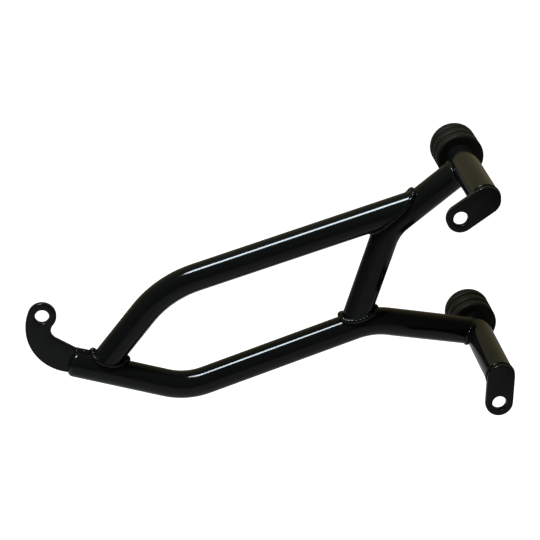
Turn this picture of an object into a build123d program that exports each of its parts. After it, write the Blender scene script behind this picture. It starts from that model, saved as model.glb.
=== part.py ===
"""One side of a set of motorcycle crash bars.

Three bent tubes are coped and welded into a flat frame. Two standoffs cross the frame at one end, each
with a mount plate inboard and a ribbed bumper outboard. A hooked lug is let into the other end.

The origin is the centre of the upper mounting hole, on the face that meets the motorcycle. X runs along
the motorcycle from the lug towards the bumpers, Y points outboard and Z up. Lengths are in millimetres.
"""

import os
from math import cos, pi, radians, sin, sqrt, tan

from build123d import *

# Tube stock
tube_od = 22.0
tube_wall = 2.0
saddle_step = 0.1  # a coped tube is this much slimmer than the tube it sits on, so its saddle closes
cope_depth = 1.5  # a coped end is cut square this far beyond the line between its two crotches

# Mounting holes and plates
hole_d = 11.0  # clearance for an M10 bolt
plate_t = 5.0
plate_step = 0.25  # a plate's edge lies this far inside the skin of its standoff
upper_plate_reach = 23.2  # from the hole to the standoff's axis
upper_plate_angle = 37.8
lower_plate_reach = 21.4
lower_plate_angle = 91.0
lower_hole_x = 46.7
lower_hole_z = -158.8
lower_outset = 15.0  # the lower mounting face lies this far outboard of the upper one

# Frame of bent tubes, in the plane that lies one reach outboard of the upper mounting face
standoff_reach = 80.0
lower_end_outset = 25.0  # the lower tube's end lies this far outboard of that plane
cross_bend_x = -39.0
cross_bend_z = -36.5
cross_bend_r = 38.0
upper_bend_x = -213.5
upper_bend_z = -88.5
upper_bend_r = 85.0
lug_bend_x = -193.0
lug_bend_z = -174.0
lug_bend_r = 52.0
lower_bend_x = -47.5
lower_bend_z = -115.5
lower_bend_r = 44.0
cross_foot_gap = 0.5  # from the start of the lower bend to the cross tube's axis
upper_head_reach = 30.5  # from the cross tube's corner to the upper tube's axis
upper_foot_reach = 24.0  # from the lower tube's end to the upper tube's axis
lug_leg = 95.5  # lower tube, from its corner to its closed end
lug_leg_angle = 166.2
closed_end_r = 4.5  # rounded edge of the lower tube's closed end

# Lug, with places and angles from the lower tube's closed end and its axis
lug_t = 5.0
lug_hole_back = 30.6
lug_hole_rise = 33.0
lug_eye_r = 11.2
lug_neck_r = 7.8
lug_neck_angle = -25.2
lug_edge_angle = -15.2
lug_back_angle = 173.0
lug_back_inset = 2.6  # from the tube's lower skin to the foot of the hooked back
tongue_length = 14.0
tongue_proud = 0.6  # of the tube's skin, under the weld

# Bumpers and what holds them
bumper_d = 37.5
bumper_rib = 9.3
bumper_ribs = 3
groove_w = 2.6
groove_d = 2.8
rib_round = 2.4
upper_bumper_gap = 18.5  # from the axis of the tube that meets the standoff to the bumper
lower_bumper_gap = 14.0
socket_depth = 8.0
socket_clearance = 0.1
bolt_d = 8.0
bolt_clearance = 0.5  # across, in the bumper and the washer
bolt_grip = 14.0  # in the bung
head_d = 13.0
head_h = 8.0
hex_across_flats = 6.0
hex_depth = 4.0
washer_d = 16.0
washer_t = 1.6
counterbore_d = 17.0
counterbore_depth = 11.5
bung_length = 20.0
bung_chamfer = 1.0

# Weld beads, each with the lift of its core above both skins at the crotches
foot_bead_r = 2.0
foot_bead_lift = 1.7
foot_lump_r = 3.2
head_bead_r = 2.0
head_bead_lift = 0.7
cross_bead_r = 2.2
cross_bead_lift = 1.9
standoff_bead_r = 2.0
standoff_bead_lift = 0.8
plate_bead_r = 0.9
lug_bead_r = 3.4
lug_bead_sink = 1.2
seam_corners = 12
seam_reach = 4 * tube_od
seam_accuracy = 0.001
arc_share = 0.45  # of the shorter run at a corner of a seam, taken up by the corner's arc

# What the sizes above work out to
upper_tube_r = tube_od / 2
cross_tube_r = upper_tube_r + saddle_step / 2
lower_tube_r = cross_tube_r + saddle_step / 2
standoff_r = lower_tube_r + saddle_step / 2
standoff_bore_r = standoff_r - tube_wall
plate_w = 2 * (standoff_r - plate_step)
bumper_length = bumper_ribs * bumper_rib + (bumper_ribs - 1) * groove_w
bolt_way_r = (bolt_d + bolt_clearance) / 2
frame_y = standoff_reach
parts = {}


def polar(length, angle, start=(0.0, 0.0)):
    """The point (x, z) at a length and an angle in degrees from a start."""
    return start[0] + length * cos(radians(angle)), start[1] + length * sin(radians(angle))


def on_frame(x, z):
    """A point of the plane of the tubes."""
    return Vector(x, frame_y, z)


def upright(x, y, z):
    """A sketch plane across Y, with its own x along X, its own y along Z, facing inboard."""
    return Plane(origin=(x, y, z), x_dir=(1, 0, 0), z_dir=(0, -1, 0))


def rod(x, z, start, end, radius):
    """A round bar along Y."""
    return extrude(upright(x, start, z) * Circle(radius), start - end)


def swept(points, bends, radius):
    """A round bar along straight runs, with a tangent arc at each inner point."""
    axis = FilletPolyline(*points, radius=bends)
    return sweep(Plane(origin=axis @ 0, z_dir=axis % 0) * Circle(radius), path=axis)


def swept_between(start, end, radius):
    """A straight round bar with domed ends."""
    bar = extrude(Plane(origin=start, z_dir=end - start) * Circle(radius), (end - start).length)
    return bar + Pos(*start) * Sphere(radius) + Pos(*end) * Sphere(radius)


def round_start(bar, start, radius):
    """The bar with a rounded edge at its start."""
    rims = bar.edges().filter_by(GeomType.CIRCLE)
    return fillet(rims.sort_by_distance(start)[:1], radius)


def cut_by(shape, cutters):
    """The main body that a run of cuts leaves of a shape."""
    for cutter in cutters:
        shape = max((shape - cutter).solids(), key=lambda body: body.volume)
    return shape


class Joint:
    """The end of a round branch that is coped on a round run and squared off between its crotches."""

    def __init__(self, foot, towards, branch_r, run_axis, along, run_r):
        self.foot, self.branch_r = foot, branch_r
        self.run_axis, self.run_r = run_axis, run_r
        self.up = (towards - foot).normalized()
        self.side = (along - self.up * along.dot(self.up)).normalized()
        self.over = self.up.cross(self.side)
        left, right = (self.skin(turn) + self.up * self.saddle(turn) for turn in (0, pi))
        down = (right - left).cross(self.over).normalized()
        self.square = Plane(origin=(left + right) / 2 + down * cope_depth, z_dir=down)

    def outward(self, turn):
        """The direction out of the branch's skin, from one crotch at no turn to the other at half a turn."""
        return self.side * cos(turn) + self.over * sin(turn)

    def skin(self, turn):
        return self.foot + self.outward(turn) * self.branch_r

    def saddle(self, turn):
        """How far up the branch the run's skin is met."""
        inside, outside = 0.0, seam_reach
        while outside - inside > seam_accuracy:
            middle = (inside + outside) / 2
            if self.run_axis.distance_to(self.skin(turn) + self.up * middle) < self.run_r:
                inside = middle
            else:
                outside = middle
        return inside

    def offcut(self):
        """What is cut off the branch to square its end."""
        return extrude(self.square * Rectangle(seam_reach, seam_reach), seam_reach)

    def bead_core(self, turn, lift):
        """The middle of the weld bead, in the gap between the two skins or lifted off both at a crotch."""
        skin = self.skin(turn)
        squared = (self.square.origin - skin).dot(self.square.z_dir) / self.up.dot(self.square.z_dir)
        edge = skin + self.up * max(squared, self.saddle(turn))
        nearest = self.run_axis.closest_points(edge)[0]
        off_run = (edge - nearest).normalized()
        gap = (edge - nearest).length - self.run_r
        out = self.outward(turn)
        off_both = (out + off_run) / (1 + out.dot(off_run))
        return edge - off_run * (gap / 2) + off_both * max(lift * abs(cos(turn)) - gap / 2, 0)

    def bead(self, radius, lift, run, branch, lump_r=None):
        """The weld bead round the end, swept in two halves and fitted to the two tubes that carry it."""
        corners = [self.bead_core(2 * pi * k / seam_corners, lift) for k in range(seam_corners)]
        half = seam_corners // 2
        start = (corners[-1] + corners[0]) / 2
        middle = (corners[half - 1] + corners[half]) / 2
        there = [start, *corners[:half], middle]
        back = [middle, *corners[half:], start]
        rope = swept(there, widest_bends(there), radius)
        others = [swept(back, widest_bends(back), radius)]
        if lump_r:
            others += [Pos(*corners[k]) * Sphere(lump_r) for k in (0, half)]
        return cut_by(rope + others, [[run, branch]])


def widest_bends(points):
    """For each inner point, the largest arc that its two runs allow."""
    bends = []
    for before, corner, after in zip(points, points[1:], points[2:]):
        turn = radians((corner - before).get_angle(after - corner))
        shorter = min((corner - before).length, (after - corner).length)
        bends.append(arc_share * shorter / tan(turn / 2))
    return bends


# Standoff axes and tube corners
upper_x, upper_z = polar(upper_plate_reach, upper_plate_angle)
lower_x, lower_z = polar(lower_plate_reach, lower_plate_angle, (lower_hole_x, lower_hole_z))
lower_y = frame_y + lower_end_outset
cross_corner = on_frame(cross_bend_x, cross_bend_z)
upper_corner = on_frame(upper_bend_x, upper_bend_z)
lug_corner = on_frame(lug_bend_x, lug_bend_z)
lower_corner = on_frame(lower_bend_x, lower_bend_z)
cross_end = on_frame(upper_x, upper_z)
lower_end = Vector(lower_x, lower_y, lower_z)
closed_end = on_frame(*polar(lug_leg, lug_leg_angle, (lug_bend_x, lug_bend_z)))

# Feet of the coped tubes, on the axes of the tubes that carry them
lower_run = (lower_corner - lug_corner).normalized()
lower_turn = lower_run.get_angle(lower_end - lower_corner)
bend_start = lower_bend_r * tan(radians(lower_turn / 2))
cross_foot = lower_corner - lower_run * (bend_start + cross_foot_gap)
cross_run = (cross_end - cross_corner).normalized()
upper_head = cross_corner + cross_run * upper_head_reach
into_tube = (lug_corner - closed_end).normalized()
upper_foot = closed_end + into_tube * upper_foot_reach
outboard = Vector(0, 1, 0)

# Axes of the bent tubes, and the joints between them
lower_points = [closed_end, lug_corner, lower_corner, lower_end]
lower_bends = [lug_bend_r, lower_bend_r]
lower_axis = FilletPolyline(*lower_points, radius=lower_bends)
cross_points = [cross_foot, cross_corner, cross_end]
cross_axis = FilletPolyline(*cross_points, radius=[cross_bend_r])
upper_points = [upper_foot, upper_corner, upper_head]
upper_standoff_axis = Line(cross_end - outboard * seam_reach, cross_end + outboard * seam_reach)
lower_standoff_axis = Line(lower_end - outboard * seam_reach, lower_end + outboard * seam_reach)
foot_joint = Joint(upper_foot, upper_corner, upper_tube_r, lower_axis, into_tube, lower_tube_r)
head_joint = Joint(upper_head, upper_corner, upper_tube_r, cross_axis, cross_run, cross_tube_r)
cross_joint = Joint(cross_foot, cross_corner, cross_tube_r, lower_axis, lower_run, lower_tube_r)
top_joint = Joint(cross_end, cross_corner, cross_tube_r, upper_standoff_axis, outboard, standoff_r)
end_joint = Joint(lower_end, lower_corner, lower_tube_r, lower_standoff_axis, outboard, standoff_r)

# Standoffs, from the mount plates into the bumpers
upper_bumper_y = frame_y + upper_bumper_gap
lower_bumper_y = lower_y + lower_bumper_gap
standoff_sites = {
    "upper": (upper_x, upper_z, 0.0, upper_bumper_y),
    "lower": (lower_x, lower_z, lower_outset, lower_bumper_y),
}
standoff_bodies = {}
for name, (x, z, face_y, bumper_y) in standoff_sites.items():
    outer_end = bumper_y + socket_depth
    standoff_bodies[name] = rod(x, z, face_y + plate_t, outer_end, standoff_r)
    bore = rod(x, z, face_y + plate_t, outer_end, standoff_bore_r)
    parts[f"{name}_standoff"] = standoff_bodies[name] - bore

# Lower tube: closed at the lug, two bends, coped on the lower standoff
lower_body = round_start(swept(lower_points, lower_bends, lower_tube_r), closed_end, closed_end_r)
lower_cuts = [standoff_bodies["lower"], end_joint.offcut()]
lower_coped = cut_by(lower_body, lower_cuts)
hollow_start = closed_end + into_tube * tube_wall
lower_hollow = swept([hollow_start] + lower_points[1:], lower_bends, lower_tube_r - tube_wall)
lower_hollow = round_start(lower_hollow, hollow_start, closed_end_r - tube_wall)

# Cross tube: coped on the lower tube and on the upper standoff
cross_body = swept(cross_points, [cross_bend_r], cross_tube_r)
cross_cuts = [lower_body, standoff_bodies["upper"], cross_joint.offcut(), top_joint.offcut()]
cross_coped = cut_by(cross_body, cross_cuts)
cross_hollow = swept(cross_points, [cross_bend_r], cross_tube_r - tube_wall)
parts["cross_tube"] = cut_by(cross_body - cross_hollow, cross_cuts)

# Upper tube: coped on the lower tube and on the cross tube's bend
upper_body = swept(upper_points, [upper_bend_r], upper_tube_r)
upper_cuts = [lower_body, cross_body, foot_joint.offcut(), head_joint.offcut()]
upper_coped = cut_by(upper_body, upper_cuts)
upper_hollow = swept(upper_points, [upper_bend_r], upper_tube_r - tube_wall)
parts["upper_tube"] = cut_by(upper_body - upper_hollow, upper_cuts)

# Lug: an eye, a hooked back, a neck and a tongue that fills a slot in the lower tube's closed end
slot_up = into_tube.rotate(Axis.Y, -90)
lug_hole = closed_end - into_tube * lug_hole_back + slot_up * lug_hole_rise
lug_face = lug_hole + Vector(0, lug_t / 2, 0)
lug_plane = Plane(origin=lug_face, x_dir=into_tube, z_dir=(0, -1, 0))


def by_tube(along, up):
    """A point of the lug's sketch, along and above the lower tube's axis from its closed end."""
    return lug_hole_back + along, up - lug_hole_rise


tongue_top = lower_tube_r + tongue_proud
tongue_floor = -sqrt((lower_tube_r - tube_wall) ** 2 - (lug_t / 2) ** 2)
back_start = polar(lug_eye_r, lug_back_angle)
back_end = by_tube(0, lug_back_inset - lower_tube_r)
neck_centre = polar(lug_eye_r + lug_neck_r, lug_neck_angle)
neck_end = polar(lug_neck_r, lug_edge_angle - 90, neck_centre)
edge_drop = neck_end[1] - by_tube(0, tongue_top)[1]
edge_end = polar(edge_drop / sin(radians(-lug_edge_angle)), lug_edge_angle, neck_end)
lug_outline = [
    CenterArc((0, 0), lug_eye_r, lug_neck_angle, lug_back_angle - lug_neck_angle),
    TangentArc(back_start, back_end, tangent=polar(1, lug_back_angle + 90)),
    Polyline(
        back_end,
        by_tube(closed_end_r, tongue_floor),
        by_tube(tongue_length, tongue_floor),
        by_tube(tongue_length, tongue_top),
        edge_end,
        neck_end,
    ),
    CenterArc(neck_centre, lug_neck_r, lug_edge_angle - 90, lug_neck_angle - lug_edge_angle - 90),
]
side_lug = extrude(lug_plane * (make_face(lug_outline) - Circle(hole_d / 2)), lug_t)
parts["side_lug"] = side_lug
parts["lower_tube"] = cut_by(lower_body - lower_hollow, lower_cuts + [side_lug])

# Mount plates: one round end on the standoff, the other round the hole
plate_sites = {
    "upper": (0.0, 0.0, 0.0, upper_plate_reach, upper_plate_angle),
    "lower": (lower_hole_x, lower_outset, lower_hole_z, lower_plate_reach, lower_plate_angle),
}
for name, (x, y, z, reach, angle) in plate_sites.items():
    outline = SlotCenterPoint(polar(reach / 2, angle), polar(reach, angle), plate_w)
    plate = extrude(upright(x, y, z) * (outline - Circle(hole_d / 2)), -plate_t)
    parts[f"{name}_mount_plate"] = plate


def bumper_profile():
    """Half the bumper's section: radius across, distance from its inboard face up."""
    radius = bumper_d / 2
    outline = Rectangle(radius, bumper_length, align=Align.MIN)
    for k in range(1, bumper_ribs):
        middle = k * (bumper_rib + groove_w) - groove_w / 2
        outline -= Pos(radius, middle) * Rectangle(2 * groove_d, groove_w)
    rim = outline.vertices().filter_by(lambda corner: corner.X > radius - groove_d / 2)
    outline = fillet(rim, rib_round)
    socket_r = standoff_r + socket_clearance
    outline -= Rectangle(socket_r, socket_depth, align=Align.MIN)
    outline -= Rectangle(bolt_way_r, bumper_length, align=Align.MIN)
    seat = bumper_length - counterbore_depth
    outline -= Pos(0, seat) * Rectangle(counterbore_d / 2, counterbore_depth, align=Align.MIN)
    return outline


# Bumpers, and the bung, washer and bolt inside each
for name, (x, z, face_y, bumper_y) in standoff_sites.items():
    turned = Plane(origin=(x, bumper_y, z), x_dir=(1, 0, 0), z_dir=(0, 0, 1))
    axis = Axis((x, bumper_y, z), (0, 1, 0))
    parts[f"{name}_bumper"] = revolve(turned * bumper_profile(), axis)

    tube_end = bumper_y + socket_depth
    bung = rod(x, z, tube_end - bung_length, tube_end, standoff_bore_r)
    bung = chamfer(bung.edges().sort_by(Axis.Y)[0], bung_chamfer)
    parts[f"{name}_bung"] = bung - rod(x, z, tube_end - bung_length, tube_end, bolt_d / 2)

    seat = bumper_y + bumper_length - counterbore_depth
    washer = rod(x, z, seat, seat + washer_t, washer_d / 2)
    washer_hole = rod(x, z, seat, seat + washer_t, bolt_way_r)
    parts[f"{name}_washer"] = washer - washer_hole

    head = seat + washer_t
    bolt = rod(x, z, head, head + head_h, head_d / 2) + rod(x, z, tube_end - bolt_grip, head, bolt_d / 2)
    hexagon = RegularPolygon(hex_across_flats / 2, 6, major_radius=False)
    parts[f"{name}_bolt"] = bolt - extrude(upright(x, head + head_h, z) * hexagon, hex_depth)

# Weld beads round the coped ends
foot_bead = foot_joint.bead(foot_bead_r, foot_bead_lift, lower_body, upper_coped, foot_lump_r)
foot_bead = cut_by(foot_bead, [side_lug])
parts["weld_upper_foot"] = foot_bead
parts["weld_upper_head"] = head_joint.bead(head_bead_r, head_bead_lift, cross_body, upper_coped)
cross_bead = cross_joint.bead(cross_bead_r, cross_bead_lift, lower_body, cross_coped)
parts["weld_cross_foot"] = cross_bead
upper_standoff_body, lower_standoff_body = standoff_bodies.values()
top_bead = top_joint.bead(standoff_bead_r, standoff_bead_lift, upper_standoff_body, cross_coped)
parts["weld_cross_standoff"] = top_bead
end_bead = end_joint.bead(standoff_bead_r, standoff_bead_lift, lower_standoff_body, lower_coped)
parts["weld_lower_standoff"] = end_bead

# Weld beads round the mount plates and along the lug's slot
for name, (x, z, face_y, bumper_y) in standoff_sites.items():
    back = upright(x, face_y + plate_t, z)
    ring = back * Torus(plate_w / 2, plate_bead_r)
    parts[f"weld_{name}_plate"] = cut_by(ring, [standoff_bodies[name], parts[f"{name}_mount_plate"]])

rope_start = closed_end + into_tube * lug_bead_r + slot_up * (lower_tube_r - lug_bead_sink)
rope_end = rope_start + into_tube * (tongue_length - lug_bead_r)
lug_rope = swept_between(rope_start, rope_end, lug_bead_r)
parts["weld_lug"] = cut_by(lug_rope, [lower_body, side_lug, upper_coped, foot_bead])

os.makedirs("parts", exist_ok=True)
for name, shape in parts.items():
    export_step(shape, f"parts/{name}.step")
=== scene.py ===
"""Looks of one side of a set of motorcycle crash bars: black gloss coat, rippled weld beads, ribbed
rubber bumpers and plated fixings, on a pale floor under one overhead softbox. Lengths are in metres.
"""

from math import atan2, pi, radians, sin

import bmesh
import bpy
from mathutils import Matrix, Vector, noise


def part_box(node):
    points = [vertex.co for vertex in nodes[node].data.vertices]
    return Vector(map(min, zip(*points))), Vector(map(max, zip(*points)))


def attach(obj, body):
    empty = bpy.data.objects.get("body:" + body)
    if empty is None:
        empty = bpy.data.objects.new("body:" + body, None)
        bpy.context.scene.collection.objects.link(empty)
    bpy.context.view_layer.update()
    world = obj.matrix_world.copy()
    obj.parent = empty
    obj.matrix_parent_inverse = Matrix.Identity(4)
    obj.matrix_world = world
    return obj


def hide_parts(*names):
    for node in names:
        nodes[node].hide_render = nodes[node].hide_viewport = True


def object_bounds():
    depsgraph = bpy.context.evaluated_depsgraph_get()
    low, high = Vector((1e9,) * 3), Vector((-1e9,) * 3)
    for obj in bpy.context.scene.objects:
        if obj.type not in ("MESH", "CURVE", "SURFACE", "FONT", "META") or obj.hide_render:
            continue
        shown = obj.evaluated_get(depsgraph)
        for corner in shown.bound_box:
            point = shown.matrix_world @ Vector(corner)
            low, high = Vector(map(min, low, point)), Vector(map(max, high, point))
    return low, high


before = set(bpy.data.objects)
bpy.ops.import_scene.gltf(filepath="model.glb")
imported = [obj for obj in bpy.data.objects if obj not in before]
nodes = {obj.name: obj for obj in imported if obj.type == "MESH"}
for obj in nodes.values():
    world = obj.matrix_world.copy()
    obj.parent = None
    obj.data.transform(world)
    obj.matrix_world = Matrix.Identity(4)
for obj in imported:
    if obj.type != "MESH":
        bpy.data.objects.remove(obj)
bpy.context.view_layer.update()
scene = bpy.context.scene

# Corners of the bent tubes, which the coped ends point to
FRAME_Y = 0.080
CROSS_CORNER = Vector((-0.0390, FRAME_Y, -0.0365))
UPPER_CORNER = Vector((-0.2135, FRAME_Y, -0.0885))
LOWER_CORNER = Vector((-0.0475, FRAME_Y, -0.1155))
LUG_CORNER = Vector((-0.1930, FRAME_Y, -0.1740))
TUBE_RADIUS = 0.011

# Weld ripples
BEAD_VOXEL = 0.00040
RIPPLE_PITCH = 0.0026
RIPPLE_HEIGHT = 0.00022
RIPPLE_FULLNESS = 0.7
RIPPLE_LEVEL = 0.5  # share of a ripple's height that lies under the skin of the solid
RIPPLE_WANDER = 0.25
LUMP_SIZE = 0.005
LUMP_HEIGHT = 0.00025

# Broken edges of the plates and the lug
EDGE_ROUND = 0.0010
EDGE_STEPS = 4
WELD_APART = 0.000002
FLAT_ANGLE = radians(0.5)
SHARP_ANGLE = radians(40)

# Coat: slow drifts of tone and sheen, orange peel, and specks of dust in patches
DRIFT_SIZE = 0.060
PEEL_SIZE = 0.0030
PEEL_HEIGHT = 0.000006
SPECK_SIZE = 0.0007
SPECK_EDGES = (0.66, 0.78)
PATCH_SIZE = 0.020
PATCH_EDGES = (0.45, 0.75)

# Rubber: moulded grain and a scuffed bloom
GRAIN_SIZE = 0.0005
GRAIN_HEIGHT = 0.00006
BLOOM_SIZE = 0.012

# Plating: clouds, and fine rings round the bolts' axes
CLOUD_SIZE = 0.004
RING_SIZE = 0.0030
RING_HEIGHT = 0.00003
RING_SQUEEZE = (1.0, 14.0, 1.0)

# Colours, from the darkest to the palest that each finish shows
COAT_COLOURS = (0.0034, 0.0034, 0.0032, 1), (0.0060, 0.0060, 0.0057, 1)
RUBBER_COLOURS = (0.0040, 0.0037, 0.0018, 1), (0.0080, 0.0073, 0.0040, 1)
PLATED_COLOURS = (0.46, 0.45, 0.43, 1), (0.60, 0.60, 0.58, 1)
WHITE = (1, 1, 1, 1)

# Camera of the photograph
CAMERA_PLACE = Vector((-0.3168, -1.3601, 0.5130))
CAMERA_AHEAD = Vector((0.1191, 0.9196, -0.3743))
CAMERA_RIGHT = Vector((0.9928, -0.1103, 0.0449))
SENSOR_MM = 36.0
LENS_MM = 133.33

# Floor, room and light
FLOOR_DROP = 0.22
FLOOR_HALF = 6.0
FLOOR_COLOUR = (0.54, 0.50, 0.49, 1)
FLOOR_ROUGHNESS = 0.9
FLOOR_GLOW = 0.95
GLOSS_SHARE = 0.06
ROOM_BEHIND = (0.234, 0.207, 0.085, 1)
ROOM_AHEAD = (0.035, 0.035, 0.035, 1)
ROOM_TURN = (-0.1, 0.8)
KEY_AHEAD = Vector((0.332, 0.120, -0.935)).normalized()
KEY_DISTANCE = 1.5
KEY_SIZE = (0.28, 0.60)
KEY_WATTS = 34.0
KEY_COLOUR = (0.80, 0.93, 1.0)


class Signal:
    """An output of a node, written in sums as a number is."""

    def __init__(self, tree, socket):
        self.tree = tree
        self.socket = socket

    def node(self, kind, settings, inputs, output=0):
        """Another node of the same tree: its settings first, then the values or links of its sockets."""
        node = self.tree.nodes.new(kind)
        for name, value in settings.items():
            setattr(node, name, value)
        for name, value in inputs.items():
            connect(self.tree, node.inputs[name], value)
        return Signal(self.tree, node.outputs[output])

    def maths(self, operation, other):
        """A sum with a number or another signal."""
        return self.node("ShaderNodeMath", {"operation": operation}, {0: self, 1: other})

    def __add__(self, other):
        return self.maths("ADD", other)

    __radd__ = __add__

    def __mul__(self, other):
        return self.maths("MULTIPLY", other)

    __rmul__ = __mul__

    def noise(self, size, detail=2.0, roughness=0.5):
        """Clouds of about this size, from 0 to 1."""
        inputs = {"Vector": self, "Scale": 1 / size, "Detail": detail, "Roughness": roughness}
        return self.node("ShaderNodeTexNoise", {}, inputs)

    def step(self, low, high):
        """0 below low, 1 above high, smooth between."""
        inputs = {"Value": self, "From Min": low, "From Max": high}
        return self.node("ShaderNodeMapRange", {"interpolation_type": "SMOOTHSTEP"}, inputs)

    def between(self, first, second):
        """From the first colour at 0 to the second at 1."""
        inputs = {"Factor": self, "A": first, "B": second}
        return self.node("ShaderNodeMix", {"data_type": "RGBA"}, inputs, "Result")

    def bump(self, distance):
        """The normal of a surface raised by this much where the value is 1."""
        return self.node("ShaderNodeBump", {}, {"Height": self, "Distance": distance})


def connect(tree, socket, value):
    """Links a signal to a socket, or sets its value."""
    if isinstance(value, Signal):
        tree.links.new(value.socket, socket)
    else:
        socket.default_value = value


def new_finish(name, **constants):
    """A material with its constant values set, a setter for the rest, and the place on the object."""
    material = bpy.data.materials.new(name)
    material.use_nodes = True
    tree = material.node_tree
    shader = tree.nodes["Principled BSDF"]
    for socket, value in constants.items():
        shader.inputs[socket.replace("_", " ")].default_value = value
    place = Signal(tree, tree.nodes.new("ShaderNodeTexCoord").outputs["Object"])

    def vary(socket, value):
        connect(tree, shader.inputs[socket], value)

    return material, vary, place


# Gloss black coat
coat, vary, place = new_finish("black_coat", Specular_IOR_Level=0.2)
drift = place.noise(DRIFT_SIZE, detail=3.0)
peel = place.noise(PEEL_SIZE)
dust = place.noise(SPECK_SIZE).step(*SPECK_EDGES) * place.noise(PATCH_SIZE).step(*PATCH_EDGES)
vary("Base Color", (0.6 * drift + 0.4 * dust).between(*COAT_COLOURS))
vary("Roughness", 0.09 + 0.03 * drift + 0.10 * dust)
vary("Normal", peel.bump(PEEL_HEIGHT))

# Matte moulded rubber, a little paler where it is scuffed
rubber, vary, place = new_finish("bumper_rubber", Specular_IOR_Level=0.11)
grain = place.noise(GRAIN_SIZE, detail=3.0, roughness=0.6)
bloom = place.noise(BLOOM_SIZE, detail=4.0, roughness=0.6)
vary("Base Color", (0.7 * bloom + 0.3 * grain).between(*RUBBER_COLOURS))
vary("Roughness", 0.46 + 0.16 * bloom)
vary("Normal", (grain + 0.4 * bloom).bump(GRAIN_HEIGHT))

# Plated steel
plated, vary, place = new_finish("plated_steel", Metallic=1.0)
cloud = place.noise(CLOUD_SIZE, detail=3.0)
squeezed = place.node("ShaderNodeVectorMath", {"operation": "MULTIPLY"}, {0: place, 1: RING_SQUEEZE})
rings = squeezed.noise(RING_SIZE)
vary("Base Color", cloud.between(*PLATED_COLOURS))
vary("Roughness", 0.26 + 0.12 * cloud + 0.08 * rings)
vary("Normal", rings.bump(RING_HEIGHT))

# Each solid takes the finish of its kind, and the welded steel takes the coat
FINISHES = {"bumper": rubber, "bung": plated, "bolt": plated, "washer": plated}
for name, solid in nodes.items():
    solid.material_slots[0].material = FINISHES.get(name.split("_")[-1], coat)


def steel_piece(piece, name):
    """Sets a piece of coated steel in the place of its solid."""
    piece.data.materials.clear()
    piece.data.materials.append(coat)
    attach(piece, "root")
    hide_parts(name)


def ripple(step):
    """Height of the overlapped scallops of a bead, 0 in the valleys and 1 on the crests."""
    return abs(sin(pi * step)) ** RIPPLE_FULLNESS


def rippled_bead(name, length_at):
    """A weld bead with ripples: a fine copy of its solid, raised along its normals."""
    bead = bpy.data.objects.new(f"rippled_{name}", nodes[name].data.copy())
    scene.collection.objects.link(bead)
    remesh = bead.modifiers.new("fine", "REMESH")
    remesh.mode = "VOXEL"
    remesh.voxel_size = BEAD_VOXEL
    remesh.use_smooth_shade = True
    fine = bpy.data.meshes.new_from_object(bead.evaluated_get(bpy.context.evaluated_depsgraph_get()))
    bead.modifiers.clear()
    bead.data = fine
    raised = []
    for vertex in fine.vertices:
        lump = noise.noise(vertex.co / LUMP_SIZE)
        step = length_at(vertex.co) / RIPPLE_PITCH + RIPPLE_WANDER * lump
        rise = RIPPLE_HEIGHT * (ripple(step) - RIPPLE_LEVEL) + LUMP_HEIGHT * lump
        raised.append(vertex.co + vertex.normal * rise)
    for vertex, point in zip(fine.vertices, raised):
        vertex.co = point
    steel_piece(bead, name)


def round_axis(centre, axis):
    """Length along a bead that runs round an axis, at a point of the bead."""
    side = axis.orthogonal().normalized()
    over = axis.normalized().cross(side)

    def length_at(point):
        offset = point - centre
        return TUBE_RADIUS * atan2(offset.dot(over), offset.dot(side))

    return length_at


def middle(low, high):
    """Middle of a box."""
    return (Vector(low) + Vector(high)) / 2


# Weld beads round the coped ends of the tubes
COPED_ENDS = {
    "weld_upper_foot": UPPER_CORNER,
    "weld_upper_head": UPPER_CORNER,
    "weld_cross_foot": CROSS_CORNER,
    "weld_cross_standoff": CROSS_CORNER,
    "weld_lower_standoff": LOWER_CORNER,
}
for name, corner in COPED_ENDS.items():
    centre = middle(*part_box(name))
    rippled_bead(name, round_axis(centre, corner - centre))

# Weld bead along the lug's slot
slot_middle = middle(*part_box("weld_lug"))
slot_run = (LUG_CORNER - slot_middle).normalized()
rippled_bead("weld_lug", lambda point: (point - slot_middle).dot(slot_run))


def rounded_plate(name):
    """A flat piece with broken edges: its solid with the flats joined up and each sharp edge rolled."""
    shape = bmesh.new()
    shape.from_mesh(nodes[name].data)
    bmesh.ops.remove_doubles(shape, verts=shape.verts, dist=WELD_APART)
    bmesh.ops.dissolve_limit(shape, angle_limit=FLAT_ANGLE, verts=shape.verts, edges=shape.edges)
    for face in shape.faces:
        face.smooth = True
    mesh = bpy.data.meshes.new(f"rounded_{name}")
    shape.to_mesh(mesh)
    shape.free()
    plate = bpy.data.objects.new(mesh.name, mesh)
    scene.collection.objects.link(plate)
    edge = plate.modifiers.new("broken_edge", "BEVEL")
    edge.width = EDGE_ROUND
    edge.segments = EDGE_STEPS
    edge.limit_method = "ANGLE"
    edge.angle_limit = SHARP_ANGLE
    edge.harden_normals = True
    steel_piece(plate, name)


# Mount plates and lug
for name in ("upper_mount_plate", "lower_mount_plate", "side_lug"):
    rounded_plate(name)


def backdrop_share(start):
    """How much a ray sees of the white backdrop: all to the eye or through clear things, some in gloss."""
    kinds = ("Is Camera Ray", "Is Transmission Ray", "Is Glossy Ray")
    eye, clear, gloss = (start.node("ShaderNodeLightPath", {}, {}, kind) for kind in kinds)
    return eye + clear + GLOSS_SHARE * gloss


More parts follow.
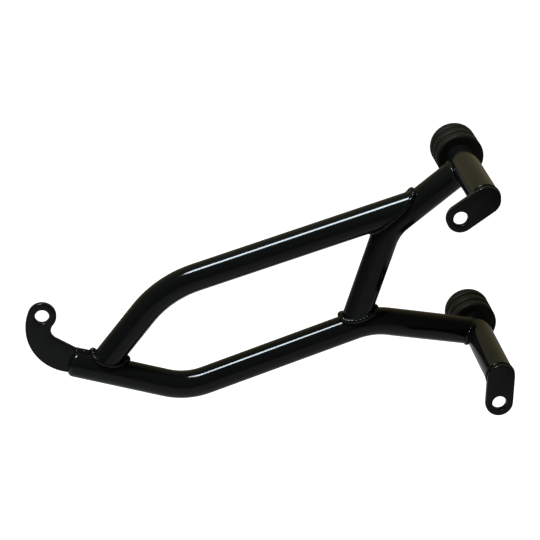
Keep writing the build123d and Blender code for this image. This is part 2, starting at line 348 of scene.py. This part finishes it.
# Floor: white to the eye, dimmer in gloss, lit and shaded as a floor is
low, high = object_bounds()
floor_z = low[2] - FLOOR_DROP
floor_mesh = bpy.data.meshes.new("floor")
sides = (-FLOOR_HALF, FLOOR_HALF)
floor_mesh.from_pydata([(x, y, floor_z) for x in sides for y in sides], [], [(0, 2, 3, 1)])
floor = bpy.data.objects.new("floor", floor_mesh)
scene.collection.objects.link(floor)
floor_paint = new_finish(
    "floor", Base_Color=FLOOR_COLOUR, Roughness=FLOOR_ROUGHNESS, Specular_IOR_Level=0.0
)[0]
tree = floor_paint.node_tree
lit = Signal(tree, tree.nodes["Principled BSDF"].outputs["BSDF"])
glow = lit.node("ShaderNodeEmission", {}, {"Color": WHITE, "Strength": FLOOR_GLOW})
both = lit.node("ShaderNodeAddShader", {}, {0: lit, 1: glow})
shown = lit.node("ShaderNodeMixShader", {}, {0: backdrop_share(lit), 1: lit, 2: both})
connect(tree, tree.nodes["Material Output"].inputs["Surface"], shown)
floor_mesh.materials.append(floor_paint)

# Room: warm behind the part, dim ahead of it, white to the eye beyond the floor
world = bpy.data.worlds.new("room")
scene.world = world
world.use_nodes = True
tree = world.node_tree
toward = Signal(tree, tree.nodes.new("ShaderNodeTexCoord").outputs["Generated"])
rear = toward.node("ShaderNodeSeparateXYZ", {}, {"Vector": toward}, "Y").step(*ROOM_TURN)
room = toward.node("ShaderNodeBackground", {}, {"Color": rear.between(ROOM_AHEAD, ROOM_BEHIND)})
white = toward.node("ShaderNodeBackground", {}, {"Color": WHITE})
shown = toward.node("ShaderNodeMixShader", {}, {0: backdrop_share(toward), 1: room, 2: white})
connect(tree, tree.nodes["World Output"].inputs["Surface"], shown)

# Overhead softbox
key_light = bpy.data.lights.new("softbox", "AREA")
key_light.shape = "RECTANGLE"
key_light.size, key_light.size_y = KEY_SIZE
key_light.energy = KEY_WATTS
key_light.color = KEY_COLOUR
key = bpy.data.objects.new("softbox", key_light)
scene.collection.objects.link(key)
key.visible_camera = False
key.location = middle(low, high) - KEY_AHEAD * KEY_DISTANCE
key.rotation_euler = KEY_AHEAD.to_track_quat("-Z", "Y").to_euler()

# Camera
camera_data = bpy.data.cameras.new("camera")
camera_data.sensor_width = SENSOR_MM
camera_data.lens = LENS_MM
camera = bpy.data.objects.new("camera", camera_data)
scene.collection.objects.link(camera)
right = CAMERA_RIGHT.normalized()
behind = -CAMERA_AHEAD.normalized()
up = behind.cross(right)
turn = Matrix((right, up, behind)).transposed().to_4x4()
camera.matrix_world = Matrix.Translation(CAMERA_PLACE) @ turn
scene.camera = camera

# Colours shown as they are written
scene.view_settings.view_transform = "Standard"
